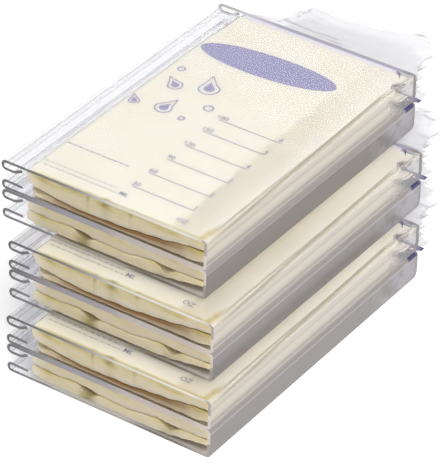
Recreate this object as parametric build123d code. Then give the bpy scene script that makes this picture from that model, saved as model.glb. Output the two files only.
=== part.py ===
"""Stacking freezer cases for flat milk storage bags.

Three pairs of clear plastic cases stand one on another. Each case is one wall
bent into a sleeve: open at the front and the back, closed on the right, and
edged on the left with two rolled finger lips. Two filled bags lie in each case,
with their press-to-close zips and their header films at the back.

X runs across the case, Y from the front opening to the back, Z up. The origin
is the centre of the underside of the lowest case. All sizes are millimetres.
"""
import os

from build123d import *

# case
case_width = 118.0
case_length = 180.0
case_height = 16.4
case_wall = 1.5
side_bend = 2.2  # bend radius of the two right-hand corners, on the wall's middle line
lip_reach = 12.4  # from the left face to the end of a rolled lip
lip_drop = 4.1  # from the middle line of the plate to the middle line of its lip
lip_turn_up = 2.3  # how far the end of the top lip curls back towards its plate
lip_turn_length = 4.4
lip_sag = 0.3  # how far the end of the bottom lip dips
roll_share = 0.48  # roll radius as a share of the drop: just under a half circle
back_top_radius = 2.5
back_bottom_radius = 5.5
front_radius = 1.2

# stack: pairs of cases, each pair set back from the one below
pair_count = 3
cases_in_pair = 2
pair_shift_x = (0.0, -7.8, -21.8)
pair_shift_y = (0.0, 12.5, 26.4)

# bags, two in each case
bags_in_case = 2
bag_clearance = 0.35  # between bags, plates and walls
lip_clearance = 0.8  # between the bag's left edge and the end of the lips
pouch_front_gap = ((1.0, 2.0), (1.0, 2.0))  # front edge to the sealed end, placed as zip_place
pouch_side_round = 2.6
largest_round_share = 0.95  # of half the bag's thickness
pouch_corner_radius = 4.0
pouch_front_round = 2.4
neck_length = 13.0  # the flat film between the milk and the zip
neck_taper = 12.0
film_neck = 0.9
front_slope_length = 24.0  # the lower bag thins towards its front end
front_slope_thickness = 1.8

# zip strip: its place behind (+) or inside (-) the back edge of the case
zip_depth = 3.2
zip_height = 2.2
zip_edge_round = 0.6
zip_side_margin = 1.0
zip_place = ((-1.0, 6.0), (-3.0, 0.0))  # (lower case, upper case), each (lower, upper bag)
zip_raise = (0.0, 1.8)  # above the middle of the (lower, upper) bag

# header film behind the zip, torn off close to the zip in each lower case
header_film = 0.8
header_length = ((12.0, 14.0), (35.0, 40.0))  # at the longest point
header_left_length = ((8.0, 9.0), (22.0, 27.0))  # where the torn edge starts
header_right_length = ((7.0, 8.0), (20.0, 24.0))
header_rise = ((0.8, 1.2), (2.0, 2.6))
header_left_step = 24.0  # the left part of the header is torn back
header_left_tear = 9.0
header_left_stub = 4.5
header_corner_stub = 1.0
header_right_lean = 13.0
header_run = 5.0  # straight run before the film starts to rise

# derived sizes
half_wall = case_wall / 2
case_left = -case_width / 2
inner_right = case_width / 2 - case_wall
inner_height = case_height - 2 * case_wall
bag_thickness = (inner_height - (bags_in_case + 1) * bag_clearance) / bags_in_case
pouch_left = case_left + lip_reach + lip_clearance
pouch_right = inner_right - bag_clearance
pouch_width = pouch_right - pouch_left
back_edge = case_length / 2


def prism(outline, plane, depth):
    """A closed wire drawn in the given plane, pushed both ways by half the depth."""
    return extrude(make_face(plane * outline), depth / 2, both=True)


def case_profile():
    """The bent wall seen from the front: lip, top plate, side, bottom plate, lip."""
    left = case_left + half_wall
    right = case_width / 2 - half_wall
    top = case_height - half_wall
    bottom = half_wall
    lip_end = case_left + lip_reach
    roll = lip_drop * roll_share
    middle_line = FilletPolyline(
        (lip_end, top - lip_drop + lip_turn_up),
        (lip_end - lip_turn_length, top - lip_drop),
        (left, top - lip_drop),
        (left, top),
        (right, top),
        (right, bottom),
        (left, bottom),
        (left, bottom + lip_drop),
        (lip_end, bottom + lip_drop - lip_sag),
        radius=(lip_turn_length, roll, roll, side_bend, side_bend, roll, roll),
    )
    return trace(middle_line, line_width=case_wall)


def case_silhouette():
    """The case seen from the right: its back corners are rounder than its front ones."""
    return FilletPolyline(
        (-back_edge, 0),
        (back_edge, 0),
        (back_edge, case_height),
        (-back_edge, case_height),
        radius=(front_radius, back_bottom_radius, back_top_radius, front_radius),
        close=True,
    )


def make_case():
    sleeve = extrude(Plane.XZ * case_profile(), case_length / 2, both=True)
    return sleeve & prism(case_silhouette(), Plane.YZ, 2 * case_width)


def make_pouch(tier, bag):
    """Milk-filled pouch: sealed round front, flat film neck. Its zip end is at Y = 0."""
    pouch_length = bag_zip_front(tier, bag) + back_edge - pouch_front_gap[tier][bag]
    slopes_at_front = bag == 0
    neck_raise = zip_raise[bag]
    half = bag_thickness / 2
    neck_top = neck_raise + film_neck / 2
    neck_bottom = neck_raise - film_neck / 2
    body_back = -neck_length
    front_top = front_slope_thickness - half if slopes_at_front else half
    slope_end = -pouch_length + (front_slope_length if slopes_at_front else pouch_front_round)
    front_edge = half - pouch_front_round if not slopes_at_front else front_top
    side = Polyline(
        (-pouch_length, -half + (0 if slopes_at_front else pouch_front_round)),
        (-pouch_length, front_edge),
        (slope_end, half),
        (body_back - neck_taper, half),
        (body_back, neck_top),
        (0, neck_top),
        (0, neck_bottom),
        (body_back, neck_bottom),
        (body_back - neck_taper, -half),
        (-pouch_length + pouch_front_round, -half),
        close=True,
    )
    middle_x = (pouch_left + pouch_right) / 2
    plan = FilletPolyline(
        (pouch_left, -pouch_length),
        (pouch_right, -pouch_length),
        (pouch_right, 0),
        (pouch_left, 0),
        radius=(pouch_corner_radius, pouch_corner_radius, 0, 0),
        close=True,
    )
    side_round = min(pouch_side_round, half * largest_round_share)
    section = RectangleRounded(pouch_width, bag_thickness, side_round)
    body = prism(side, Plane.YZ, 3 * case_width)
    body = body & prism(plan, Plane.XY, 3 * case_height)
    return body & extrude(Plane.XZ * Pos(middle_x, 0) * section, 2 * case_length, both=True)


def make_zip():
    """Press-to-close strip across the film, behind the end of the pouch."""
    width = pouch_width - 2 * zip_side_margin
    strip = Plane.YZ * Pos(zip_depth / 2, 0) * RectangleRounded(zip_depth, zip_height, zip_edge_round)
    return Pos((pouch_left + pouch_right) / 2, 0, 0) * extrude(strip, width / 2, both=True)


def make_header(tier, bag):
    """Film behind the zip, torn back on its left and rising towards its free edge."""
    left = pouch_left + zip_side_margin
    right = pouch_right - zip_side_margin
    start = zip_depth
    end = start + header_length[tier][bag]
    rising = FilletPolyline(
        (start, 0), (start + header_run, 0), (end, header_rise[tier][bag]), radius=header_run
    )
    film = extrude(Plane.YZ * trace(rising, line_width=header_film), case_width, both=True)
    plan = Polyline(
        (left, 0),
        (right, 0),
        (right, start + header_right_length[tier][bag]),
        (right - header_right_lean, end),
        (left + header_left_step, start + header_left_length[tier][bag]),
        (left + header_left_tear, start + header_left_stub),
        (left, start + header_corner_stub),
        close=True,
    )
    return film & prism(plan, Plane.XY, 4 * case_height)


def bag_zip_front(tier, bag):
    """Y of the front face of the zip, in a pair that is not set back."""
    return back_edge + zip_place[tier][bag] - zip_depth / 2


def bag_height(bag):
    """Middle of a bag above the underside of its case."""
    return case_wall + bag_clearance + bag_thickness / 2 + bag * (bag_thickness + bag_clearance)


def write_node(name, solid):
    solid.label = name
    export_step(solid, os.path.join("parts", name + ".step"))


def main():
    os.makedirs("parts", exist_ok=True)
    case = make_case()
    zip_strip = make_zip()
    bag_words = ("lower", "upper")
    for pair in range(pair_count):
        for tier in range(cases_in_pair):
            number = pair * cases_in_pair + tier + 1
            x = pair_shift_x[pair]
            y = pair_shift_y[pair]
            z = (number - 1) * case_height
            write_node(f"case_{number}", Pos(x, y, z) * case)
            for bag in range(bags_in_case):
                word = bag_words[bag]
                place = Pos(x, y + bag_zip_front(tier, bag), z + bag_height(bag))
                zip_height_place = place * Pos(0, 0, zip_raise[bag])
                write_node(f"pouch_{number}_{word}", place * make_pouch(tier, bag))
                write_node(f"zip_{number}_{word}", zip_height_place * zip_strip)
                header = make_header(tier, bag)
                write_node(f"header_{number}_{word}", zip_height_place * header)


main()
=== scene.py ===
import math
from functools import partial

import bmesh
import bpy
from mathutils import Matrix, Vector, noise
from mathutils.bvhtree import BVHTree


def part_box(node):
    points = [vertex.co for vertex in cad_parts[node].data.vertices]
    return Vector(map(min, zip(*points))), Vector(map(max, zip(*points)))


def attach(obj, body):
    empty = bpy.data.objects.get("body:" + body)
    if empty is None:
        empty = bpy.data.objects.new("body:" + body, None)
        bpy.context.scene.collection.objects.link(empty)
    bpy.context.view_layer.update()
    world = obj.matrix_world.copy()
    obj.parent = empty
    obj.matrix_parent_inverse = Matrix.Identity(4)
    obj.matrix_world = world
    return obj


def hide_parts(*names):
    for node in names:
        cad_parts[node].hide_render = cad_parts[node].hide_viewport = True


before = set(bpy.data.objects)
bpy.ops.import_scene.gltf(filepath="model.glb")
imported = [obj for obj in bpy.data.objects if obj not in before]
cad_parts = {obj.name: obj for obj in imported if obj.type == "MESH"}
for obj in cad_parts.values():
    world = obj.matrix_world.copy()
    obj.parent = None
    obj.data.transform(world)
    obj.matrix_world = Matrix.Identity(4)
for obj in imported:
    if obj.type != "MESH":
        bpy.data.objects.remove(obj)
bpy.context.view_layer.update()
scene = bpy.context.scene
mm = 0.001
print("frame loaded:", len(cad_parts), "nodes")

# pairs of cases stand one on another, and two bags lie in each case
stack = {
    "cases": range(1, 7),
    "tiers": ("lowerCase", "upperCase"),
    "bags": ("lower", "upper"),
}


def newObject(name, data):
    made = bpy.data.objects.new(name, data)
    scene.collection.objects.link(made)
    return made


# camera: seen from the front right and above, with a long lens
cameraSetup = {
    "azimuth": 34.09,
    "elevation": 34.33,
    "roll": 1.135,
    "distance": 1672.2 * mm,
    "target": Vector((-6.8, 11.9, 44.2)) * mm,
    "sensor": 36.0,  # mm along the frame's longer side
    "lens": 267.2,
    "clip": (0.05, 20),
}


def makeCamera(setup):
    azimuth, elevation, roll = (math.radians(setup[name]) for name in ("azimuth", "elevation", "roll"))
    level = math.cos(elevation)
    back = Vector((math.sin(azimuth) * level, -math.cos(azimuth) * level, math.sin(elevation)))
    side = Vector((math.cos(azimuth), math.sin(azimuth), 0))
    upright = back.cross(side)
    right = side * math.cos(roll) + upright * math.sin(roll)
    up = upright * math.cos(roll) - side * math.sin(roll)
    place = Matrix((right, up, back)).transposed().to_4x4()
    place.translation = setup["target"] + back * setup["distance"]
    data = bpy.data.cameras.new("studioCamera")
    data.sensor_width = setup["sensor"]
    data.lens = setup["lens"]
    data.clip_start, data.clip_end = setup["clip"]
    camera = newObject("studioCamera", data)
    camera.matrix_world = place
    scene.camera = camera


makeCamera(cameraSetup)
print("camera placed")


def linearColour(hexCode, alpha=1.0):
    channels = [int(hexCode[i:i + 2], 16) / 255 for i in (1, 3, 5)]
    return [c / 12.92 if c < 0.04045 else ((c + 0.055) / 1.055) ** 2.4 for c in channels] + [alpha]


def addNode(tree, kind, inputs=(), **settings):
    # A kind in capitals is a Math node's operation, and a Mix is of colours. Inputs are a dictionary, or a row in
    # the order shown (MapRange: value, range from, range to; TexNoise: place, scale, detail, roughness). Each is
    # a value, a hex colour, a socket, or a node for its first output.
    if kind.isupper():
        kind, settings["operation"] = "Math", kind
    node = tree.nodes.new("ShaderNode" + kind)
    if kind == "Mix":
        node.data_type = "RGBA"
    for name, value in settings.items():
        setattr(node, name, value)
    if not isinstance(inputs, dict):
        shown = [index for index, socket in enumerate(node.inputs) if socket.enabled]
        inputs = dict(zip(shown, inputs))
    for socket, value in inputs.items():
        if isinstance(value, bpy.types.Node):
            value = next(output for output in value.outputs if output.enabled)
        if isinstance(value, bpy.types.NodeSocket):
            tree.links.new(value, node.inputs[socket])
        else:
            node.inputs[socket].default_value = linearColour(value) if isinstance(value, str) else value
    return node


def setRamp(node, stops):
    # each stop is a place from 0 to 1 and a hex colour, and some have a last number for how well it covers
    ramp = node.color_ramp
    ramp.elements[0].position, ramp.elements[0].color = stops[0][0], linearColour(*stops[0][1:])
    ramp.elements[1].position, ramp.elements[1].color = stops[-1][0], linearColour(*stops[-1][1:])
    for position, *colour in stops[1:-1]:
        ramp.elements.new(position).color = linearColour(*colour)
    return node


def newMaterial(name):
    material = bpy.data.materials.new(name)
    material.use_nodes = True
    material.node_tree.nodes.clear()
    return material, partial(addNode, material.node_tree)


def addPiece(name, mesh, material, body, replaced=()):
    piece = newObject(name, mesh)
    mesh.materials.clear()
    mesh.materials.append(material)
    if replaced:
        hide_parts(*replaced)
    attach(piece, body)
    return piece


def meshFrom(bm, name):
    mesh = bpy.data.meshes.new(name)
    bm.to_mesh(mesh)
    bm.free()
    mesh.shade_smooth()
    return mesh


def finalMesh(scratch):
    # the mesh with the object's modifiers or letters made; the object goes
    evaluated = scratch.evaluated_get(bpy.context.evaluated_depsgraph_get())
    mesh = bpy.data.meshes.new_from_object(evaluated)
    bpy.data.objects.remove(scratch)
    return mesh


def finishMesh(mesh, modifiers):
    scratch = newObject("scratch", mesh)
    for kind, settings in modifiers:
        modifier = scratch.modifiers.new(kind.lower(), kind)
        for name, value in settings.items():
            setattr(modifier, name, value)
    return finalMesh(scratch)


def movedCopy(mesh, place, name):
    copied = mesh.copy()
    copied.name = name
    copied.transform(Matrix.Translation(place))
    return copied


def tierOf(number):
    return stack["tiers"][(number - 1) % 2]


def caseOf(number):
    # middle of the underside of a case
    low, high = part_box(f"case_{number}")
    return Vector(((low.x + high.x) / 2, (low.y + high.y) / 2, low.z))


def boxInCase(part, tier, bag):
    # a part of a bag in the lowest case of its tier, measured from the middle of the case's underside
    number = stack["tiers"].index(tier) + 1
    low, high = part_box(f"{part}_{number}_{bag}")
    return low - caseOf(number), high - caseOf(number)


# Polystyrene of the cases. Places are in mm from the middle of the case's underside, as the mesh stores them.
# Stops run from the lips to the closed side, or from the floor to the top plate; their colours are painted
# reflection and shade.
caseLook = {
    "ior": 1.59,
    "across": (-59.0, 59.0),
    "upwards": (0.0, 16.4),
    "closedSide": (56.4, 57.0),  # the bend that leads into it
    "sheet": "#FAFAFB",
    "sheetGloss": 0.02,
    "flatFaces": (0.95, 0.995, 0.35, 0.95),  # how plainly one sees through a face, by how flat it lies
    "lips": (-48.0, -46.5, 0.6, 0.0),  # where the lips end, and how plainly one sees through them
    "endFaces": (0.4, 0.7, 0.0, 0.95),
    "endRoughness": 0.35,
    "sideRoughness": 0.25,
    "middle": 8.2,  # the painted reflection in the sawn ends is darker on the side of the pair's other case
    "paintedSeamStops": (
        (0.0, "#4E4E52"), (0.1, "#6A696E"), (0.2, "#928D96"), (0.35, "#9C97A4"), (0.5, "#A29DA4"),
        (0.58, "#C0B6B6"), (0.9, "#CBBDB6"), (1.0, "#DDD3CB")),
    "paintedRimStops": (
        (0.1, "#A9A8AE", 0.35), (0.13, "#C2BED2", 0.5), (0.34, "#8F8BA3", 0.85), (0.93, "#8F8BA3", 0.85),
        (0.97, "#66626C", 0.75)),
    "rimReach": (0.8, 1.3),  # mm from the back end that catch the rim's painted reflection line, a little less on the closed side
    "sideRim": 0.3,
    "backEnd": (2.0, 4.0, 1.0, 0.0),  # mm from the back end in which a sawn end takes the rim's painted reflection colours
    "tint": ("#C4C2CC", 3.0),  # of the thickness, with its density
}
clearCase = {
    "seamSide": "LESS_THAN",
    "endStops": (
        (0.0, "#4A4A4E"), (0.2, "#656463"), (0.3, "#77767A"), (0.42, "#A09FA2"), (0.56, "#DDDAD6"),
        (0.9, "#EFE8E0"), (0.97, "#DCD3CC"), (0.985, "#ABA09F")),
    # painted cream and shade of the bags seen through the closed side, and painted reflection lines of its bends
    "sideStops": (
        (0.03, "#857E78", 0.85), (0.08, "#A09992", 0.75), (0.13, "#BDB6AF", 0.6), (0.17, "#BDB6AF", 0.6),
        (0.225, "#8A8277", 0.8), (0.28, "#ACA396", 0.65), (0.36, "#C6BDB0", 0.7), (0.5, "#CAC0B2", 0.7),
        (0.61, "#C4BAAB", 0.65), (0.67, "#ACA394", 0.7), (0.73, "#CBC2B6", 0.6), (0.9, "#D3CBBE", 0.5),
        (1.0, "#D0C8BA", 0.2)),
    "filled": (60.0, 74.0, 1.0, 0.12),  # the milk ends before the back, and so does its painted tone in the side
    "bendPlace": (57.5, 0.0235),  # x of the bend's line, and how far it leans in for each mm of y
    "bendLine": (0.3, 0.85, 0.75, 0.0),  # how the painted dark line of the bend fades to both sides
    "bendColour": "#7B7354",
    "topPlate": (13.6, 14.2),
}
# the lower case of each pair: its grey side and floor are painted shade, clouded towards the back, with painted
# reflection lines
shadeGreyCase = {
    "seamSide": "GREATER_THAN",
    "endStops": (
        (0.0, "#56565A"), (0.1, "#7E7B80"), (0.2, "#85807E"), (0.27, "#ACA9A2"), (0.4, "#ABA598"),
        (0.58, "#AFA69B"), (0.66, "#8C8377"), (0.72, "#6E655A"), (0.82, "#70665A"), (0.9, "#8F887E"),
        (0.98, "#B0A8A2"), (1.0, "#A39A97")),
    "sideStops": (
        (0.03, "#6B6663", 0.85), (0.07, "#A5A09D", 0.0), (0.81, "#B4AFAC", 0.0), (0.845, "#B4AFAC", 0.9),
        (0.88, "#B4AFAC", 0.0), (0.94, "#857E7A", 0.9), (0.98, "#9E9792", 0.9), (1.0, "#857E7A", 0.9)),
    "smoke": "#7D7876",
    "cloud": "#9C989F",
    "cloudReach": (35.0, 80.0),
    "cover": 0.94,
    "floor": "#B5AEAA",
    "floorReach": (10.0, 45.0),
    "floorTop": 1.7,
    # painted dark purple shade where the zip shows through the bend of the back corner
    "mark": "#37315F",
    "markPlace": (("X", 47.5, 49.5), ("Y", 80.5, 82.5), ("Z", 13.7, 14.3)),
}


def makeSheet(add, look, x, facing):
    # a flat face lets one see straight through and keeps its own gloss, and a bend refracts as solid glass
    glass = add("BsdfPrincipled", {
        "Base Color": "#FFFFFF", "Roughness": 0.0, "IOR": look["ior"], "Transmission Weight": 1.0,
    })
    through = add("BsdfTransparent", [look["sheet"]])
    shine = add("BsdfAnisotropic", {"Color": "#FFFFFF", "Roughness": look["sheetGloss"]})
    fresnel = add("Fresnel", [look["ior"]])
    inside = add("NewGeometry").outputs["Backfacing"]
    outside = add("SUBTRACT", [1.0, inside])
    shineShare = add("MULTIPLY", [fresnel, outside])
    thin = add("MixShader", [shineShare, through, shine])
    level, sideways = (add("ABSOLUTE", [facing.outputs[axis]]) for axis in "ZX")
    flat = add("MAXIMUM", [level, sideways])
    flatShare = add("MapRange", [flat, *look["flatFaces"]])
    lipShare = add("MapRange", [x, *look["lips"]])
    thinShare = add("MAXIMUM", [flatShare, lipShare])
    return add("MixShader", [thinShare, glass, thin]), through


def makeSawnEnd(add, look, colours, z, across, rim, farEnd):
    # painted reflection and shade in the sawn ends: dark at the lips, pale towards the closed side, darker on the
    # seam
    plain = setRamp(add("ValToRGB", [across]), colours["endStops"])
    seam = setRamp(add("ValToRGB", [across]), look["paintedSeamStops"])
    onSeam = add(colours["seamSide"], [z, look["middle"]])
    atBack = add("MapRange", [farEnd, *look["backEnd"]])
    colour = add("Mix", [onSeam, plain, seam])
    colour = add("Mix", [atBack, colour, rim])
    return add("BsdfPrincipled", {"Base Color": colour, "Roughness": look["endRoughness"]})


def makeClearSide(add, colours, place, onSide, paintedSideLines):
    # painted cream and shade of the bags seen through the closed side, and the painted dark line that the bend
    # above it draws
    x, y, z = (place.outputs[axis] for axis in "XYZ")
    filled = add("MapRange", [y, *colours["filled"]])
    filledSide = add("MULTIPLY", [filled, onSide])
    share = add("MULTIPLY", [paintedSideLines.outputs["Alpha"], filledSide])
    bendX, lean = colours["bendPlace"]
    offBend = add("MULTIPLY_ADD", [y, lean, x])
    offBend = add("SUBTRACT", [offBend, bendX])
    offBend = add("ABSOLUTE", [offBend])
    bend = add("MapRange", [offBend, *colours["bendLine"]])
    onTop = add("MapRange", [z, *colours["topPlate"]])
    for part in (onTop, filled):
        bend = add("MULTIPLY", [bend, part])
    share = add("MAXIMUM", [share, bend])
    return share, add("Mix", [bend, paintedSideLines, colours["bendColour"]])


def makeSmokySide(add, colours, place, onSide, paintedSideLines):
    # painted grey shade on the side and floor, clouded towards the back, with a painted dark purple patch of the
    # zip at the back corner
    x, y, z = (place.outputs[axis] for axis in "XYZ")
    stored = add("Attribute", attribute_name="casePlace").outputs["Vector"]
    clouds = add("TexNoise", [stored, 0.09, 3.0, 0.6])
    clouds = add("MapRange", [clouds, 0.42, 0.62])
    nearBack = add("MapRange", [y, *colours["cloudReach"]])
    clouds = add("MULTIPLY", [clouds, nearBack])
    floorReach = add("MapRange", [x, *colours["floorReach"]])
    floorLevel = add("LESS_THAN", [z, colours["floorTop"]])
    floor = add("MULTIPLY", [floorReach, floorLevel])
    share = add("MAXIMUM", [onSide, floor])
    share = add("MULTIPLY", [share, colours["cover"]])
    floor = add("SUBTRACT", [floor, onSide], use_clamp=True)
    lineShare = add("MULTIPLY", [paintedSideLines.outputs["Alpha"], onSide])
    # painted dark purple shade of the zip at the back corner
    mark = 1.0
    for axis, start, full in colours["markPlace"]:
        reached = add("MapRange", [place.outputs[axis], start, full])
        mark = add("MULTIPLY", [mark, reached])
    colour = colours["smoke"]
    for part, over in ((clouds, colours["cloud"]), (floor, colours["floor"]), (lineShare, paintedSideLines),
                       (mark, colours["mark"])):
        colour = add("Mix", [part, colour, over])
    return add("MAXIMUM", [share, mark]), colour


def makePolystyrene(name, look, colours, makeSide):
    # Clear polystyrene sheet, thermoformed: mirror-smooth faces and lips that one sees through, and glassy bends.
    # The sawn ends carry a painted reflection of the dark room at the lips that goes pale towards the closed side.
    # The lower case of each pair has painted grey shade on its closed side and floor.
    material, add = newMaterial(name)
    stored = add("Attribute", attribute_name="casePlace").outputs["Vector"]
    farEnd = add("Attribute", attribute_name="farEnd").outputs["Fac"]
    place = add("SeparateXYZ", [stored])
    x, z = place.outputs["X"], place.outputs["Z"]
    facing = add("SeparateXYZ", [add("TexCoord").outputs["Normal"]])
    across = add("MapRange", [x, *look["across"]])
    upwards = add("MapRange", [z, *look["upwards"]])
    onSide = add("MapRange", [x, *look["closedSide"]])
    # painted reflection line along the back rim
    rim = setRamp(add("ValToRGB", [across]), look["paintedRimStops"])
    # painted reflection lines and shade of the closed side, from the floor to the top plate
    paintedSideLines = setRamp(add("ValToRGB", [upwards]), colours["sideStops"])

    sheet, through = makeSheet(add, look, x, facing)
    share, colour = makeSide(add, colours, place, onSide, paintedSideLines)
    rimPlace = add("MULTIPLY_ADD", [onSide, look["sideRim"], farEnd])
    rimShare = add("MapRange", [rimPlace, *look["rimReach"], rim.outputs["Alpha"], 0.0])
    colour = add("Mix", [rimShare, colour, rim])
    share = add("MAXIMUM", [share, rimShare])
    side = add("BsdfPrincipled", {"Base Color": colour, "Roughness": look["sideRoughness"]})
    surface = add("MixShader", [share, sheet, side])

    sawn = makeSawnEnd(add, look, colours, z, across, rim, farEnd)
    lengthways = add("ABSOLUTE", [facing.outputs["Y"]])
    endShare = add("MapRange", [lengthways, *look["endFaces"]])
    surface = add("MixShader", [endShare, surface, sawn])

    # soft light passes straight through, so that the milk behind is lit
    path = add("LightPath")
    soft = add("MAXIMUM", [path.outputs["Is Shadow Ray"], path.outputs["Is Diffuse Ray"]])
    surface = add("MixShader", [soft, surface, through])
    absorption = add("VolumeAbsorption", look["tint"])
    add("OutputMaterial", [surface, absorption])
    return material


# Film of the filled pouches. Places are in mm on the flat film: across it, and from its front seal.
pouchLook = {
    "cream": "#F4EEDC",
    "cloud": "#EFE6CC",
    # a broad soft band of shade runs along the left of the bag and fades towards its back
    "bandSlope": (0.03, -37.6),
    "bandReach": (-10.0, 30.0),
    "bandEnd": (95.0, 155.0, 0.0, 0.75),
    "bandStops": (
        (0.33, "#F4EEDC"), (0.4, "#DBD3BE"), (0.6, "#DCD4BF"), (0.78, "#E8E1D3"), (1.0, "#F0EBE2")),
    # painted shade of the front end, from the underside to the top
    "frontShadeStops": (
        (0.0, "#D6CAB2"), (0.25, "#D6CAAE"), (0.5, "#D4C8A0"), (0.7, "#CDBF8A"), (0.88, "#C3B574"),
        (1.0, "#B9A866")),
    "streaks": (0.06, 2.6, 0.12),
    "streakStrength": (1.9, -0.98),
    "paleEnd": "#E6DCC9",
    "paleReach": (-44.5, -37.0, 0.8, 0.0),
    # painted olive shade in the folds of the front end
    "paintedFoldShade": "#8A7B3C",
    # painted brown shade where one bag shades the other
    "gap": "#785526",
    # olive of the welds, also painted as shade on the closed side and along the curled neck
    "weld": "#615838",
    "neckWeld": "#6C6682",
    "neckReach": (152.0, 165.0),
    "milkReach": (125.0, 148.0, 0.7, 0.0),
    "milkDepth": 4 * mm,
    "ior": 1.51,
}


def makeFilledPouch(look):
    # Blown polyethylene film over milk: a soft gloss and cream where it lies flat. Painted shade is tan in streaks
    # over the front end, olive in its folds and brown where one bag shades the other; olive along the welds, with
    # painted shade on the closed side.
    material, add = newMaterial("polyethylenePouchBlown")
    plan = add("UVMap", uv_map="filmPlan")
    place = add("SeparateXYZ", [plan])
    x, y = place.outputs["X"], place.outputs["Y"]
    tones = add("SeparateXYZ", [add("Attribute", attribute_name="filmShadeTone").outputs["Vector"]])
    frontShade, height, foldShading = (tones.outputs[axis] for axis in "XYZ")
    weld, gap = (add("Attribute", attribute_name=name).outputs["Fac"] for name in ("weldAndShadeTone", "gapTone"))

    reach = add("MULTIPLY_ADD", [y, *look["bandSlope"]])
    reach = add("ADD", [x, reach])
    waver = add("TexNoise", [plan, 0.05, 2.0, 0.5])
    reach = add("MULTIPLY_ADD", [waver, 9.0, reach])
    reach = add("MapRange", [reach, *look["bandReach"]])
    band = setRamp(add("ValToRGB", [reach]), look["bandStops"])
    bandEnd = add("MapRange", [y, *look["bandEnd"]])
    band = add("Mix", [bandEnd, band, look["cream"]])
    clouds = add("TexNoise", [plan, 0.035, 3.0, 0.5])
    clouds = add("MapRange", [clouds, 0.4, 0.72, 0.0, 0.5])
    cream = add("Mix", [clouds, band, look["cloud"]])

    # painted shade of the front end: tan in streaks, olive towards the top
    onFace = add("CombineXYZ", [x, height, y])
    streaks = add("Mapping", {"Vector": onFace, "Scale": look["streaks"]})
    streaks = add("TexNoise", [streaks, 1.0, 3.0, 0.6])
    streaks = add("MULTIPLY_ADD", [streaks, *look["streakStrength"]])
    rise = add("ADD", [height, streaks])
    tan = setRamp(add("ValToRGB", [rise]), look["frontShadeStops"])
    paleEnd = add("MapRange", [x, *look["paleReach"]])
    tan = add("Mix", [paleEnd, tan, look["paleEnd"]])

    atNeck = add("MapRange", [y, *look["neckReach"]])
    weldAndShadeColour = add("Mix", [atNeck, look["weld"], look["neckWeld"]])
    colour = cream
    for share, over in ((frontShade, tan), (foldShading, look["paintedFoldShade"]), (gap, look["gap"]), (weld, weldAndShadeColour)):
        colour = add("Mix", [share, colour, over])
    creases = add("TexNoise", [plan, 0.35, 2.0, 0.6])
    crumple = add("Bump", {"Height": creases, "Strength": 0.35, "Distance": 0.6 * mm})
    milk = add("MapRange", [y, *look["milkReach"]])
    shaded = add("MAXIMUM", [gap, foldShading])
    milk = add("SUBTRACT", [milk, shaded], use_clamp=True)
    skin = add("BsdfPrincipled", {
        "Base Color": colour,
        "Subsurface Weight": milk,
        "Subsurface Radius": (1.0, 0.85, 0.6),
        "Subsurface Scale": look["milkDepth"],
        "Roughness": 0.42,
        "IOR": look["ior"],
        "Normal": crumple,
    })
    add("OutputMaterial", [skin])
    return material


def makeInk(name, hexCode):
    # Flexographic ink printed on the film: thin, matt and slightly uneven, as the plate lays it down.
    material, add = newMaterial(name)
    place = add("TexCoord").outputs["Object"]
    grain = add("TexNoise", [place, 900.0, 2.0])
    strength = add("MapRange", [grain, 0.3, 0.7, 0.94, 1.0])
    ink = add("Mix", [strength, "#F4F0E6", hexCode])
    skin = add("BsdfPrincipled", {"Base Color": ink, "Roughness": 0.55})
    add("OutputMaterial", [skin])
    return material


zipLook = {
    "stops": (  # from the front edge of the band to its back edge
        (0.0, "#E6E4EC"), (0.4, "#DEDBE7"), (0.55, "#8E89AA"), (0.85, "#8E89AA"), (0.92, "#D6D3E4")),
    "darkEnd": "#4C4779",
    "darkReach": (47.0, 50.0, 0.0, 0.9),
    "ior": 1.51,
}


def makeZipStrip(look):
    # Extruded polyethylene zip: a lavender rib on a milky band, with a dark right end.
    material, add = newMaterial("polyethyleneZipExtruded")
    place = add("SeparateXYZ", [add("UVMap", uv_map="filmPlan")])
    ribs = setRamp(add("ValToRGB", [place.outputs["Y"]]), look["stops"])
    atEnd = add("MapRange", [place.outputs["X"], *look["darkReach"]])
    colour = add("Mix", [atEnd, ribs, look["darkEnd"]])
    skin = add("BsdfPrincipled", {"Base Color": colour, "Roughness": 0.35, "IOR": look["ior"]})
    add("OutputMaterial", [skin])
    return material


filmLook = {
    "film": "#ECECEE",
    "paintedCreaseLine": "#C4C3CA",
    "cover": (0.35, 0.5),  # of the bare film and of its creases
    "creaseScale": (22.0, 420.0, 60.0),
    "ior": 1.51,
}


def makeClearFilm(look):
    # Clear polyethylene film, blown and torn by hand: thin and nearly clear, with long straight creases and a torn
    # rim that show a painted grey line of reflection.
    material, add = newMaterial("polyethyleneFilmTorn")
    place = add("TexCoord").outputs["Object"]
    dents = add("TexNoise", [place, 160.0, 3.0, 0.6])
    crumple = add("Bump", {"Height": dents, "Strength": 0.4, "Distance": 1.0 * mm})
    along = add("Mapping", {"Vector": place, "Scale": look["creaseScale"]})
    creases = add("TexNoise", [along, 1.0, 2.0, 0.5])
    creases = add("MapRange", [creases, 0.63, 0.67])
    rim = add("Attribute", attribute_name="tornRim").outputs["Fac"]
    # painted grey reflection line along the creases and the torn rim
    line = add("MAXIMUM", [creases, rim])
    colour = add("Mix", [line, look["film"], look["paintedCreaseLine"]])
    cover = add("MapRange", [line, 0.0, 1.0, *look["cover"]])
    skin = add("BsdfPrincipled", {
        "Base Color": colour, "Roughness": 0.3, "IOR": look["ior"], "Alpha": cover, "Normal": crumple,
    })
    add("OutputMaterial", [skin])
    return material


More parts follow.
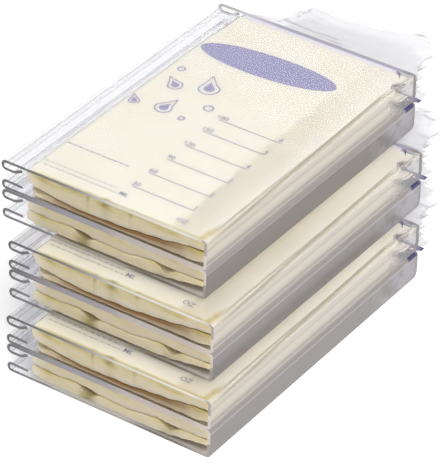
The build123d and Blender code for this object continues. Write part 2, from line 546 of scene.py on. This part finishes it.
clearPolystyrene = makePolystyrene("polystyreneClearThermoformed", caseLook, clearCase, makeClearSide)
shadeGreyPolystyrene = makePolystyrene("polystyreneShadeGreyThermoformed", caseLook, shadeGreyCase, makeSmokySide)
filledPouch = makeFilledPouch(pouchLook)
lavenderInk = makeInk("flexographicInkLavender", "#908BB5")
greyInk = makeInk("flexographicInkGrey", "#84829A")
zipPlastic = makeZipStrip(zipLook)
clearFilm = makeClearFilm(filmLook)
print("materials made")

# floor, backdrop and light
studio = {
    "paper": "#F2F2F2",
    "floorHalf": 4.0,
    "floorLevel": -0.0002,
    "floorLift": 0.3,  # added where the floor is seen, so that it stands out white
    "fill": 0.45,
    "lampPlace": Vector((0.62, -0.25, 1.45)),
    "lampSize": 1.2,
    "lampPower": 25.5,
    "bounces": 32,
    "clearLayers": 64,
}


def seenInFront(add):
    # 1 where the backdrop is seen, straight, in a gloss or through the glass
    path = add("LightPath")
    seen = path.outputs["Is Camera Ray"]
    for ray in ("Is Glossy Ray", "Is Transmission Ray"):
        seen = add("MAXIMUM", [seen, path.outputs[ray]])
    return seen


def makeStudio(setup):
    bm = bmesh.new()
    bmesh.ops.create_grid(bm, x_segments=1, y_segments=1, size=setup["floorHalf"])
    bmesh.ops.translate(bm, vec=(0, 0, setup["floorLevel"]), verts=bm.verts)
    mesh = meshFrom(bm, "studioFloor")
    material, add = newMaterial("paperSweepMatt")
    lift = add("MULTIPLY", [seenInFront(add), setup["floorLift"]])
    paper = add("BsdfDiffuse", [setup["paper"]])
    glow = add("Emission", ["#FFFFFF", lift])
    both = add("AddShader", [paper, glow])
    add("OutputMaterial", [both])
    mesh.materials.append(material)
    newObject("studioFloor", mesh)

    world = bpy.data.worlds.new("studioWorld")
    scene.world = world
    world.use_nodes = True
    world.node_tree.nodes.clear()
    add = partial(addNode, world.node_tree)
    fill = add("Background", ["#FFFFFF", setup["fill"]])
    white = add("Background", ["#FFFFFF", 1.0])
    mixed = add("MixShader", [seenInFront(add), fill, white])
    add("OutputWorld", [mixed])

    data = bpy.data.lights.new("softKey", "AREA")
    data.shape = "SQUARE"
    data.size = setup["lampSize"]
    data.energy = setup["lampPower"]
    lamp = newObject("softKey", data)
    lamp.location = setup["lampPlace"]
    aim = cameraSetup["target"] - setup["lampPlace"]
    lamp.rotation_euler = aim.to_track_quat("-Z", "Y").to_euler()
    scene.view_settings.view_transform = "Standard"
    scene.cycles.max_bounces = setup["bounces"]
    scene.cycles.transmission_bounces = setup["bounces"]
    scene.cycles.transparent_max_bounces = setup["clearLayers"]


makeStudio(studio)
print("studio built")

# case: one bent wall, open at both ends, with two rolled lips on the left
caseShape = {
    "wall": 1.5 * mm,
    "lipReach": 12.4 * mm,
    "lipDrop": 4.1 * mm,  # between the middle lines of a plate and its lip
    "lipTurnUp": 2.3 * mm,
    "lipTurnLength": 4.4 * mm,
    "lipSag": 0.3 * mm,
    "rollShare": 0.48,
    "sideBend": 2.2 * mm,
    "backTopRadius": 2.5 * mm,
    "backBottomRadius": 5.5 * mm,
    "frontRadius": 1.2 * mm,
    "cutEdge": 0.22 * mm,  # softness of the sawn ends
    "cutAngle": 50,
    "contactGap": 0.04 * mm,
    "bendSegments": 10,
    "sideCuts": 12,
}


def endInset(height, z, topRadius, bottomRadius):
    for radius, reach in ((topRadius, height - z), (bottomRadius, z)):
        if reach < radius:
            return radius - math.sqrt(max(0.0, radius ** 2 - (radius - reach) ** 2))
    return 0.0


def makeCaseMesh(shape):
    low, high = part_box("case_1")
    width, length, height = high - low
    left, right = -width / 2 + shape["wall"] / 2, width / 2 - shape["wall"] / 2
    top, bottom = height - shape["wall"] / 2 - shape["contactGap"], shape["wall"] / 2 + shape["contactGap"]
    lipEnd = -width / 2 + shape["lipReach"]
    drop = shape["lipDrop"]
    roll = drop * shape["rollShare"]
    path = [  # x, z and bend radius of each corner
        (lipEnd, top - drop + shape["lipTurnUp"], 0),
        (lipEnd - shape["lipTurnLength"], top - drop, shape["lipTurnLength"]),
        (left, top - drop, roll),
        (left, top, roll),
        (right, top, shape["sideBend"]),
        (right, bottom, shape["sideBend"]),
        (left, bottom, roll),
        (left, bottom + drop, roll),
        (lipEnd, bottom + drop - shape["lipSag"], 0),
    ]
    bm = bmesh.new()
    corners = [bm.verts.new((x, -length / 2, z)) for x, z, _ in path]
    runs = [bm.edges.new(pair) for pair in zip(corners, corners[1:])]
    bmesh.ops.subdivide_edges(bm, edges=[runs[4]], cuts=shape["sideCuts"])  # the closed side
    for index, (x, z, radius) in enumerate(path):
        if radius:
            before = Vector(path[index - 1][:2]) - Vector((x, z))
            after = Vector(path[index + 1][:2]) - Vector((x, z))
            turn = math.pi - before.angle(after)
            place = Vector((x, -length / 2, z))
            corner = min(bm.verts, key=lambda vert: (vert.co - place).length)
            bmesh.ops.bevel(
                bm, geom=[corner], offset=radius * math.tan(turn / 2), offset_type="OFFSET",
                segments=shape["bendSegments"], profile=0.5, affect="VERTICES", material=-1,
            )
    grown = bmesh.ops.extrude_edge_only(bm, edges=bm.edges[:])
    far = [v for v in grown["geom"] if isinstance(v, bmesh.types.BMVert)]
    bmesh.ops.translate(bm, vec=(0, length, 0), verts=far)
    for vert in bm.verts:
        z = vert.co.z
        if vert.co.y > 0:
            vert.co.y -= endInset(height, z, shape["backTopRadius"], shape["backBottomRadius"])
        else:
            vert.co.y += endInset(height, z, shape["frontRadius"], shape["frontRadius"])
    bmesh.ops.recalc_face_normals(bm, faces=bm.faces)
    mesh = finishMesh(meshFrom(bm, "case"), (
        ("SOLIDIFY", {"thickness": shape["wall"], "offset": 0.0, "use_even_offset": True}),
        ("BEVEL", {"width": shape["cutEdge"], "segments": 2, "limit_method": "ANGLE",
                   "angle_limit": math.radians(shape["cutAngle"]), "harden_normals": True}),
    ))
    mesh.attributes.new("casePlace", "FLOAT_VECTOR", "POINT")  # in mm from the middle of the underside
    mesh.attributes.new("farEnd", "FLOAT", "POINT")  # mm from the back end
    places, farEnds = (mesh.attributes[name].data for name in ("casePlace", "farEnd"))
    for vert, place, farEnd in zip(mesh.vertices, places, farEnds):
        inset = endInset(height, vert.co.z, shape["backTopRadius"], shape["backBottomRadius"])
        place.vector = vert.co / mm
        farEnd.value = (length / 2 - inset - vert.co.y) / mm
    return mesh


def addCases():
    sleeve = makeCaseMesh(caseShape)
    looks = {
        # the lower case's grey is painted shade
        "lowerCase": (shadeGreyPolystyrene, "grey_polystyrene"),
        "upperCase": (clearPolystyrene, "clear_polystyrene"),
    }
    for number in stack["cases"]:
        name = f"case_{number}"
        material, slot = looks[tierOf(number)]
        mesh = movedCopy(sleeve, caseOf(number), name + "_sleeve")
        addPiece(name + "_sleeve", mesh, material, name, [name])


addCases()
print("cases built")

# pouch: two film sheets sealed round the milk
pouchShape = {
    "columns": 84,
    "rows": 104,
    "crowding": 0.78,  # how strongly the rows gather at the seals
    "leftRound": 1.0 * mm,
    "rightRound": 2.4 * mm,
    "frontRound": 0.5 * mm,
    "frontRows": 0.1,  # share of the rows that turn round the front end
    "frontBlend": 26.0 * mm,
    "leftCorner": 0.8 * mm,
    "sunkCorner": 8.0 * mm,  # of the lower bag in the upper case, which draws back on its left
    "rightCorner": 1.0 * mm,
    "neckLength": 13.0 * mm,
    "neckTaper": 14.0 * mm,
    "neckFilm": 0.45 * mm,
    "leastMilk": 0.3 * mm,
    "sealSag": 0.03,  # height of the front seal between the two sheets
    "puckerDepth": 0.5 * mm,
    "puckerPitch": 7.0 * mm,
    "puckers": ((1, 0, 1.0), (3, 5, 0.4)),  # how often, place in the noise, share of the depth
    "frontShadeLength": 26.0,  # mm of painted tan shade behind the front seal
    "shadeReach": (20, 30),  # mm from the front where the shade starts to fade, and over which it does
    "weldReach": (4, 10),  # as much for the line of the weld, which starts here
    "toneHeight": {"lowerCase": 0.72, "upperCase": 1.0},  # how far the front end's painted shade goes from tan to olive
    "thinnest": 0.4 * mm,
    "weldLine": 0.9 * mm,
    "weldPlace": 0.6,  # share of the side's round
    "weldStrength": (0.8, 0.9),  # left and right
    "neckWaist": (11.0, 6.0, 3.4 * mm),  # the right edge of the neck curls in: middle and half length, depth
    "sideShade": 0.3,  # the closed side of each bag lies in the shade of the bend
}
# front end of each bag, in mm: x, underside and top above the case's underside, and how shaded it is
frontStations = {
    ("upperCase", "upper"): (
        (-46, 10.4, 13.8), (-43.5, 7.4, 14.5), (-40, 6.2, 14.5), (-34, 5.2, 14.5), (-30, 4.6, 14.5),
        (-25, 3.7, 14.5), (-14, 3.2, 14.5), (9, 3.6, 14.5), (20.6, 4.7, 14.5), (32, 5.8, 14.5),
        (43.6, 7.6, 14.5), (50.5, 8.6, 14.4), (57.2, 9.2, 12.6)),
    ("upperCase", "lower"): (
        (-46, 1.9, 2.4, 0.0), (-39, 1.9, 3.0, 0.1), (-34, 1.9, 4.4, 0.4), (-25, 1.9, 3.4, 0.8),
        (-14, 1.9, 3.0, 0.95), (9, 1.9, 3.4, 1.0), (20, 1.9, 4.5, 1.0), (32, 1.9, 5.6, 1.0),
        (42, 1.9, 7.2, 0.8), (49, 1.9, 8.0, 0.35), (57.2, 3.0, 8.0, 0.15)),
    ("lowerCase", "upper"): (
        (-46, 9.4, 12.8), (-43, 8.2, 14.2), (-40, 7.8, 14.5), (-32, 7.5, 14.5), (-21, 8.4, 14.5),
        (-14, 8.3, 14.5), (-6, 6.8, 14.5), (11, 6.2, 14.5), (19.6, 7.5, 14.5), (28, 8.5, 14.5),
        (40, 7.9, 14.5), (50, 8.2, 14.4), (57.2, 9.0, 12.4)),
    ("lowerCase", "lower"): (
        (-46, 3.4, 8.0), (-38, 2.2, 7.7), (-32, 1.9, 7.4), (-21, 1.9, 8.3), (-14, 1.9, 8.2), (-6, 1.9, 6.7),
        (11, 1.9, 6.1), (20, 1.9, 7.4), (28, 2.1, 8.3), (34, 2.5, 7.9), (41, 3.6, 7.9), (49, 5.0, 8.0),
        (57.2, 6.0, 8.0)),
}
# folds of the front end, in mm: x, half width, depth and reach of the dip in the top sheet, and its painted shade
frontFolds = {
    ("upperCase", "upper"): (
        (-0.4, 4.2, 2.6, 3.0, 1.0), (-10.0, 1.4, 1.4, 3.0, 0.7), (14.7, 1.4, 0.8, 3.0, 0.5)),
    ("upperCase", "lower"): (),
    ("lowerCase", "upper"): (),
    ("lowerCase", "lower"): ((-12.5, 7.0, 4.0, 10.0, 0.85), (34.5, 7.5, 3.2, 10.0, 0.4)),
}


nearlyOne = 0.9999  # the rim of a grid that runs from -1 to 1


def eased(share):
    share = min(1.0, max(0.0, share))
    return share * share * (3 - 2 * share)


def rounded(distance, radius):
    share = 1 - min(1.0, max(0.0, distance / radius))
    return math.sqrt(1 - share * share)


def alongStations(stations, x):
    for (x0, *values0), (x1, *values1) in zip(stations, stations[1:]):
        if x <= x1 or (x1, *values1) == stations[-1]:
            share = eased((x - x0) / (x1 - x0))
            return [a + (b - a) * share for a, b in zip(values0, values1)]


def crowded(t, amount):
    return t * (1 - amount) + amount * math.sin(t * math.pi / 2)


def onRim(u, v):
    return abs(u) > nearlyOne or abs(v) > nearlyOne


def sealedBody(columns, rows, shapeOf, name):
    # two grids, one turned over, joined round their rim; shapeOf gives a vertex its place, its place on the
    # flat film and its tones
    bm = bmesh.new()
    plan = bm.loops.layers.uv.new("filmPlan")
    toneLayer = bm.verts.layers.float_vector.new("filmShadeTone")
    weldLayer = bm.verts.layers.float.new("weldAndShadeTone")
    gapLayer = bm.verts.layers.float.new("gapTone")
    for side in (1, -1):
        grid = bmesh.ops.create_grid(bm, x_segments=columns, y_segments=rows, size=1.0)
        verts = grid["verts"]
        faces = {face for vert in verts for face in vert.link_faces}
        if side < 0:
            bmesh.ops.reverse_faces(bm, faces=list(faces))
        flats = {}
        for vert in verts:
            vert.co, flats[vert], vert[toneLayer], vert[weldLayer], vert[gapLayer] = shapeOf(*vert.co.xy, side)
        for face in faces:
            for loop in face.loops:
                loop[plan].uv = flats[loop.vert]
    bmesh.ops.remove_doubles(bm, verts=bm.verts, dist=0.01 * mm)
    return meshFrom(bm, name)


def makePouchMesh(tier, bag, shape):
    low, high = boxInCase("pouch", tier, bag)
    zipLow, zipHigh = boxInCase("zip", tier, bag)
    neckZ = (zipLow.z + zipHigh.z) / 2
    middleX, halfWidth = (low.x + high.x) / 2, (high.x - low.x) / 2
    stations, folds = frontStations[tier, bag], frontFolds[tier, bag]
    seed = 7.3 * (stack["tiers"].index(tier) + 1) + 3.1 * (bag == "upper")
    sunk = (tier, bag) == ("upperCase", "lower")
    (shadeStart, shadeFade), (weldStart, weldFade) = shape["shadeReach"], shape["weldReach"]
    rows, crowding, frontRound = shape["frontRows"], shape["crowding"], shape["frontRound"]

    def outlineOf(u, v):
        # x and y of a vertex, and y of the front edge before it
        across = crowded(u, crowding)
        x = middleX + halfWidth * across
        radius = shape["rightCorner" if across >= 0 else "sunkCorner" if sunk else "leftCorner"]
        corner = radius * (1 - rounded(halfWidth * (1 - abs(across)), radius))
        pucker = shape["puckerDepth"] * sum(
            share * noise.noise(Vector((often * x / shape["puckerPitch"], seed, layer)))
            for often, layer, share in shape["puckers"])
        front = low.y + corner + abs(pucker)
        along = (v + 1) / 2
        if along < rows:
            return x, front + frontRound * (1 - math.cos(along / rows * math.pi / 2)), front
        wallEnd = front + frontRound
        share = 0.5 + 0.5 * crowded(2 * (along - rows) / (1 - rows) - 1, crowding)
        return x, wallEnd + (high.y - wallEnd) * share, front

    def shapeOf(u, v, side):
        x, y, front = outlineOf(u, v)
        across = (x - middleX) / halfWidth
        sideReach = halfWidth * (1 - abs(across))
        fromFront, fromZip = (y - low.y) / mm, high.y - y
        under, over, *shades = alongStations(stations, x / mm)
        under, over, shade = under * mm, over * mm, sum(shades)
        body = eased(fromFront * mm / shape["frontBlend"])
        foldShading = 0.0
        for foldX, foldHalf, depth, reach, foldShade in folds:
            dip = eased(1 - abs(x / mm - foldX) / foldHalf) * (1 - eased(fromFront / reach))
            # a real dip in the top sheet, with painted olive shade in it
            if side > 0:
                over -= depth * mm * dip
                foldShading = max(foldShading, foldShade * dip)
        over += (high.z - over) * body
        under += (low.z - under) * body
        over = max(over, under + shape["leastMilk"])
        neck = 1 - eased((fromZip - shape["neckLength"]) / shape["neckTaper"])
        over += (neckZ + shape["neckFilm"] / 2 - over) * neck
        under += (neckZ - shape["neckFilm"] / 2 - under) * neck
        seal = under + (over - under) * (shape["sealSag"] + (0.5 - shape["sealSag"]) * body)
        sideRound = shape["leftRound" if across < 0 else "rightRound"]
        swell = rounded(sideReach, sideRound) * rounded(y - front, frontRound)
        if onRim(u, v):
            swell = 0.5 if v > nearlyOne else 0.0
        z = seal + ((over if side > 0 else under) - seal) * swell

        # tones of painted shade: on the front end, how high on it, how deep in a fold, on a weld and the shaded
        # closed side, in the gap
        frontShade = 1 - eased(fromFront / shape["frontShadeLength"])
        height = min(1.0, max(0.0, (z - under) / max(shape["thinnest"], high.z - under)))
        height *= shape["toneHeight"][tier]
        if bag == "upper":
            foldShading *= 0.25 + 0.75 * eased((height - 0.5) / 0.25)
            if side > 0:
                frontShade *= 1 - eased((z - (high.z - 0.7 * mm)) / (0.6 * mm)) * eased(fromFront / 2.5)
        if sunk:
            shade *= 0.55 + 0.45 * eased((z - under) / max(shape["thinnest"], over - under) * 1.6 - 0.3)
        shade *= 1 - eased((fromFront - shadeStart) / shadeFade)
        weld = 1 - eased(abs(sideReach - shape["weldPlace"] * sideRound) / shape["weldLine"])
        weld *= eased((fromFront - weldStart) / weldFade) * shape["weldStrength"][across > 0]
        if side < 0:
            weld *= neck
        if across > 0:
            middle, half, depth = shape["neckWaist"]
            waist = eased(1 - abs(fromZip / mm - middle) / half)
            x -= depth * waist * across ** 6
            z += 0.25 * depth * waist * across ** 6 * side
            # painted shade on the closed side under the bend, and a painted dark line along the curled edge of the
            # neck
            weld = max(weld, shape["sideShade"] * (1 - eased(sideReach / (0.5 * sideRound))),
                       waist * (1 - eased(sideReach / (2 * shape["weldLine"]))))
        return Vector((x, y, z)), (x / mm, fromFront), (frontShade, height, foldShading), weld, shade

    return sealedBody(shape["columns"], shape["rows"], shapeOf, f"{tier}_{bag}_pouch")


# zip: a flat band with a wide and a narrow rib
zipShape = {
    "columns": 60,
    "rows": 22,
    "band": 0.5 * mm,
    "ribs": ((0.5, 0.24, 0.85 * mm), (0.9, 0.08, 0.45 * mm)),  # place and half width across, height
    "loose": 11.0,  # mm of the right end that curls
}
# how far the right end of each zip curls away, in mm
zipCurl = {
    ("upperCase", "upper"): (-3.6, -6.2, -0.8),
    ("upperCase", "lower"): (0.0, -1.0, -2.4),
    ("lowerCase", "upper"): (1.2, 1.6, -1.0),
    ("lowerCase", "lower"): (0.0, -0.6, -0.8),
}


def makeZipMesh(tier, bag, shape):
    low, high = boxInCase("zip", tier, bag)
    middle = (low + high) / 2
    curl = Vector(zipCurl[tier, bag]) * mm

    def shapeOf(u, v, side):
        across = (v + 1) / 2
        x = middle.x + u * (high.x - low.x) / 2
        height = shape["band"] / 2
        for place, half, rise in shape["ribs"]:
            height = max(height, rise * rounded(half - abs(across - place), half))
        z = middle.z + (0 if onRim(u, v) else side * height)
        share = max(0.0, 1 - (high.x - x) / mm / shape["loose"])
        place = Vector((x, low.y + across * (high.y - low.y), z))
        return place + curl * share ** 2, (x / mm, across), (0, 0, 0), 0, 0

    return sealedBody(shape["columns"], shape["rows"], shapeOf, f"{tier}_{bag}_zip")


# header: two plies of film, torn by hand behind the zip
headerShape = {
    "columns": 84,
    "rows": 40,
    "film": 0.12 * mm,
    "plySpread": 0.7 * mm,
    "plySetBack": (1.2, 0.95),  # the under ply is torn shorter: mm on its right, share of its length
    "rise": 1.6,  # how late the film rises
    "crumple": 0.5 * mm,
    "crumplePitch": Vector((30.0, 7.0, 10.0)) * mm,
    "rim": 0.8 * mm,
}
# torn edge of each header, in mm: x and length behind the zip from the left, then length and x up the right end
tornEdges = {
    ("upperCase", "upper"): (
        ((-44.8, 1.0), (-36, 4.0), (-26.5, 5.9), (-23.5, 15.0), (-22.4, 21.3), (-20.2, 19.5), (-19.2, 26.1),
         (-2.5, 24.8), (19.6, 27.6), (30.8, 30.3), (42.2, 36.3)),
        ((0, 56), (3.5, 58), (7, 54.2), (16.5, 54), (22, 56), (23, 49.6), (29, 48), (31.5, 49.2), (32.3, 42),
         (36.3, 42.4))),
    ("upperCase", "lower"): (
        ((-44.8, 1.0), (-36, 5.0), (-30, 12.0), (-24, 29.5), (-5, 31.0), (26, 34.0)),
        ((0, 55), (4, 57.5), (8, 53), (15, 55), (17, 49), (24, 51.5), (25, 44), (30, 46.5), (31, 37), (34, 38.5))),
    ("lowerCase", "upper"): (
        ((-44.8, 1.0), (-36, 4.5), (-22, 8.5), (0, 9.5), (18, 12.0), (34, 12.5)),
        ((0, 55), (2, 57), (6.2, 57.8), (7.4, 51), (10, 52), (11, 46), (12.5, 47))),
    ("lowerCase", "lower"): (
        ((-44.8, 1.0), (-36, 4.5), (-22, 7.5), (5, 8.6), (22, 10.0), (42, 11.0)),
        ((0, 55), (3, 56), (6, 52), (8, 53.5), (9, 48), (11, 49))),
}


def alongLine(points, place):
    for (x0, y0), (x1, y1) in zip(points, points[1:]):
        if place <= x1:
            return y0 + (y1 - y0) * max(0.0, (place - x0) / (x1 - x0))
    return points[-1][1]


def makeHeaderMesh(tier, bag, shape):
    low, high = boxInCase("header", tier, bag)
    zipLow, zipHigh = boxInCase("zip", tier, bag)
    baseZ = (zipLow.z + zipHigh.z) / 2
    farLine, rightLine = tornEdges[tier, bag]
    left, longest = farLine[0][0], rightLine[-1][0]
    rise = high.z - baseZ - shape["plySpread"]
    pitch = shape["crumplePitch"]
    bm = bmesh.new()
    rimLayer = bm.verts.layers.float.new("tornRim")
    for ply in (1, -1):
        rightSetBack, lengthShare = (0.0, 1.0) if ply > 0 else shape["plySetBack"]
        slip = 0.7 * ply + stack["tiers"].index(tier) + 1
        grid = bmesh.ops.create_grid(bm, x_segments=shape["columns"], y_segments=shape["rows"], size=1.0)
        for vert in grid["verts"]:
            across, share = (vert.co.x + 1) / 2, (vert.co.y + 1) / 2
            right = alongLine(rightLine, share * longest) - rightSetBack
            x = left + (right - left) * across
            reach = alongLine(farLine, x) * lengthShare
            y = share * reach * mm
            far = y / mm / longest
            z = baseZ + rise * far ** shape["rise"] + ply * shape["plySpread"] * min(1, far * 3) * 0.5
            wave = noise.noise(Vector((x * mm / pitch.x, y / pitch.y, slip)))
            z += wave * shape["crumple"] * min(1, far * 2)
            rim = min((1 - share) * reach, (right - x))
            vert[rimLayer] = 1 - eased(rim * mm / shape["rim"])
            vert.co = Vector((x * mm, zipHigh.y + y, z))
    return meshFrom(bm, f"{tier}_{bag}_header")


def makeBagMeshes():
    meshes = {}
    for tier in stack["tiers"]:
        for bag in stack["bags"]:
            header = makeHeaderMesh(tier, bag, headerShape)
            flatArea = sum(face.area for face in header.polygons)
            meshes[tier, bag] = {
                "pouch": makePouchMesh(tier, bag, pouchShape),
                "zip": makeZipMesh(tier, bag, zipShape),
                "header": finishMesh(header, (("SOLIDIFY", {"thickness": headerShape["film"], "offset": 0.0}),)),
                "flatArea": flatArea,
            }
    return meshes


def addBags(meshes):
    for number in stack["cases"]:
        for bag in stack["bags"]:
            made = meshes[tierOf(number), bag]
            for part, material, slot in (("pouch", filledPouch, "milk_pouch"),
                                         ("zip", zipPlastic, "zip_strip"),
                                         ("header", clearFilm, "clear_film")):
                name = f"{part}_{number}_{bag}"
                mesh = movedCopy(made[part], caseOf(number), name + "_film")
                piece = addPiece(name + "_film", mesh, material, f"bag_{number}_{bag}", [name])


bagMeshes = makeBagMeshes()
addBags(bagMeshes)
print("bags built")

# print on the film, in mm: an oval write-on patch, a filling scale and a plain motif of drops
printLayout = {
    "lift": 0.06 * mm,
    "cell": 3.0,
    "reach": (60, 90),
    "patch": {"centre": (-5.2, 54.8), "length": 77.0, "width": 21.0, "turn": 3.3},
    "scale": {
        "left": 2.5, "right": 38.5, "line": 0.5, "text": 4.4,
        "heights": (0.6, -12.3, -27.5, -42.2, -56.8, -70.5),
        "millilitres": (180, 150, 120, 90, 60, 30),
        "ounces": (6, 5, 4, 3, 2, 1),
        "numberLift": 0.2,
        "numberInset": 1.0,
    },
    "units": (("ML", 4.0, -78.6), ("OZ", 38.5, -80.6)),
    # each drop: x, y, length and the turn of its point
    "drops": ((-17.0, 21.0, 19.0, 24.0), (-32.5, 14.0, 14.0, 52.0), (-25.0, -6.0, 16.0, -10.0),
              (-40.5, -9.0, 10.0, 34.0)),
    "rings": ((-7.0, 6.0, 2.8), (-38.5, 28.0, 2.2), (-12.5, -9.0, 1.9)),
    "outline": 0.8,
    "rules": (((-44.0, -8.0), -58.0, 0.7), ((-43.5, -2.0), -76.2, 0.45), ((-42.0, 0.0), -79.4, 0.45)),
    "dash": 3.4,
    "dashShare": 0.7,
    "shift": {"lower": -4.5, "upper": 0.0},  # the lower bag lies nearer to the front
}


def turnedTo(bm, verts, place, turn):
    bmesh.ops.rotate(bm, cent=(0, 0, 0), matrix=Matrix.Rotation(math.radians(turn), 3, "Z"), verts=verts)
    bmesh.ops.translate(bm, vec=(*place, 0), verts=verts)


def flatCircle(bm, place, size, turn=0.0, segments=48):
    verts = bmesh.ops.create_circle(bm, cap_ends=True, segments=segments, radius=0.5)["verts"]
    bmesh.ops.scale(bm, vec=(*size, 1), verts=verts)
    turnedTo(bm, verts, place, turn)
    return list({face for vert in verts for face in vert.link_faces})


def flatBar(bm, left, right, y, width):
    cells = max(1, int((right - left) / 4))
    verts = bmesh.ops.create_grid(bm, x_segments=cells, y_segments=1, size=0.5)["verts"]
    bmesh.ops.scale(bm, vec=(right - left, width, 1), verts=verts)
    bmesh.ops.translate(bm, vec=((left + right) / 2, y, 0), verts=verts)


def dropLoop(bm, size, place, turn, filled):
    # a circle drawn out to a point
    radius = size * 0.3
    verts = bmesh.ops.create_circle(bm, cap_ends=filled, segments=48, radius=radius)["verts"]
    for vert in verts:
        reach = max(0.0, vert.co.y / radius)
        vert.co.x *= 1 - 0.55 * reach ** 1.5
        vert.co.y += size * 0.32 * reach ** 4
    turnedTo(bm, verts, place, turn)
    return list({edge for vert in verts for edge in vert.link_edges})


def makeDrop(bm, x, y, length, turn, outline):
    # an outline with a smaller filled drop inside
    edges = dropLoop(bm, length, (x, y), turn, False) + dropLoop(bm, length - 3 * outline, (x, y), turn, False)
    bmesh.ops.bridge_loops(bm, edges=edges)
    dropLoop(bm, length * 0.5, (x, y), turn, True)


def addLetters(bm, text, size, x, y):
    curve = bpy.data.curves.new("letters", "FONT")
    curve.body = text
    curve.size = size
    curve.align_x = curve.align_y = "CENTER"
    curve.resolution_u = 3
    curve.offset = 0.006 * size
    mesh = finalMesh(newObject("letters", curve))
    mesh.transform(Matrix.Translation((x, y, 0)))
    bm.from_mesh(mesh)


def sliced(bm, pitch, reach):
    # cuts the flat print into small cells, so that it follows the film
    for axis, limit in zip((Vector((1, 0, 0)), Vector((0, 1, 0))), reach):
        for step in range(int(-limit / pitch), int(limit / pitch) + 1):
            bmesh.ops.bisect_plane(bm, geom=bm.verts[:] + bm.edges[:] + bm.faces[:],
                                   plane_co=axis * step * pitch, plane_no=axis)
    bmesh.ops.triangulate(bm, faces=bm.faces)


def makePrint(layout):
    lavender, grey = bmesh.new(), bmesh.new()
    patch = layout["patch"]
    flatCircle(lavender, patch["centre"], (patch["length"], patch["width"]), patch["turn"], 96)
    for x, y, length, turn in layout["drops"]:
        makeDrop(lavender, x, y, length, turn, layout["outline"])
    for x, y, radius in layout["rings"]:
        faces = flatCircle(lavender, (x, y), (2 * radius, 2 * radius))
        bmesh.ops.inset_region(lavender, faces=faces, thickness=layout["outline"], use_boundary=True,
                               use_even_offset=True)
        bmesh.ops.delete(lavender, geom=faces, context="FACES_ONLY")
    scale = layout["scale"]
    for height, millilitres, ounces in zip(scale["heights"], scale["millilitres"], scale["ounces"]):
        flatBar(grey, scale["left"], scale["right"], height, scale["line"])
        middle = height + scale["numberLift"] + scale["text"] / 2
        addLetters(grey, str(millilitres), scale["text"], scale["left"] + scale["numberInset"], middle)
        addLetters(grey, str(ounces), scale["text"], scale["right"] - scale["numberInset"], middle)
    for text, x, y in layout["units"]:
        addLetters(grey, text, scale["text"], x, y)
    for (left, right), y, width in layout["rules"]:
        start = left
        while start < right:
            flatBar(grey, start, min(right, start + layout["dash"] * layout["dashShare"]), y, width)
            start += layout["dash"]
    for bm in (lavender, grey):
        sliced(bm, layout["cell"], layout["reach"])
    return lavender, grey


def laidPrint(flat, film, shift, lift, name):
    bm = flat.copy()
    for vert in bm.verts:
        x, y = vert.co.x * mm, vert.co.y * mm + shift
        hit = film.ray_cast(Vector((x, y, 1.0)), Vector((0, 0, -1)))
        vert.co = Vector((x, y, hit[0].z + lift if hit[0] else 0.0))
    return meshFrom(bm, name)


def addPrints(meshes, layout):
    lavender, grey = makePrint(layout)
    for (tier, bag), made in meshes.items():
        bm = bmesh.new()
        bm.from_mesh(made["pouch"])
        film = BVHTree.FromBMesh(bm)
        bm.free()
        for colour, flat, ink in (("lavender", lavender, lavenderInk), ("grey", grey, greyInk)):
            laid = laidPrint(flat, film, layout["shift"][bag] * mm, layout["lift"], f"{tier}_{bag}_{colour}")
            for number in stack["cases"]:
                if tierOf(number) == tier:
                    name = f"print_{number}_{bag}_{colour}"
                    mesh = movedCopy(laid, caseOf(number), name)
                    addPiece(name, mesh, ink, f"bag_{number}_{bag}")


addPrints(bagMeshes, printLayout)
print("print laid on the film")
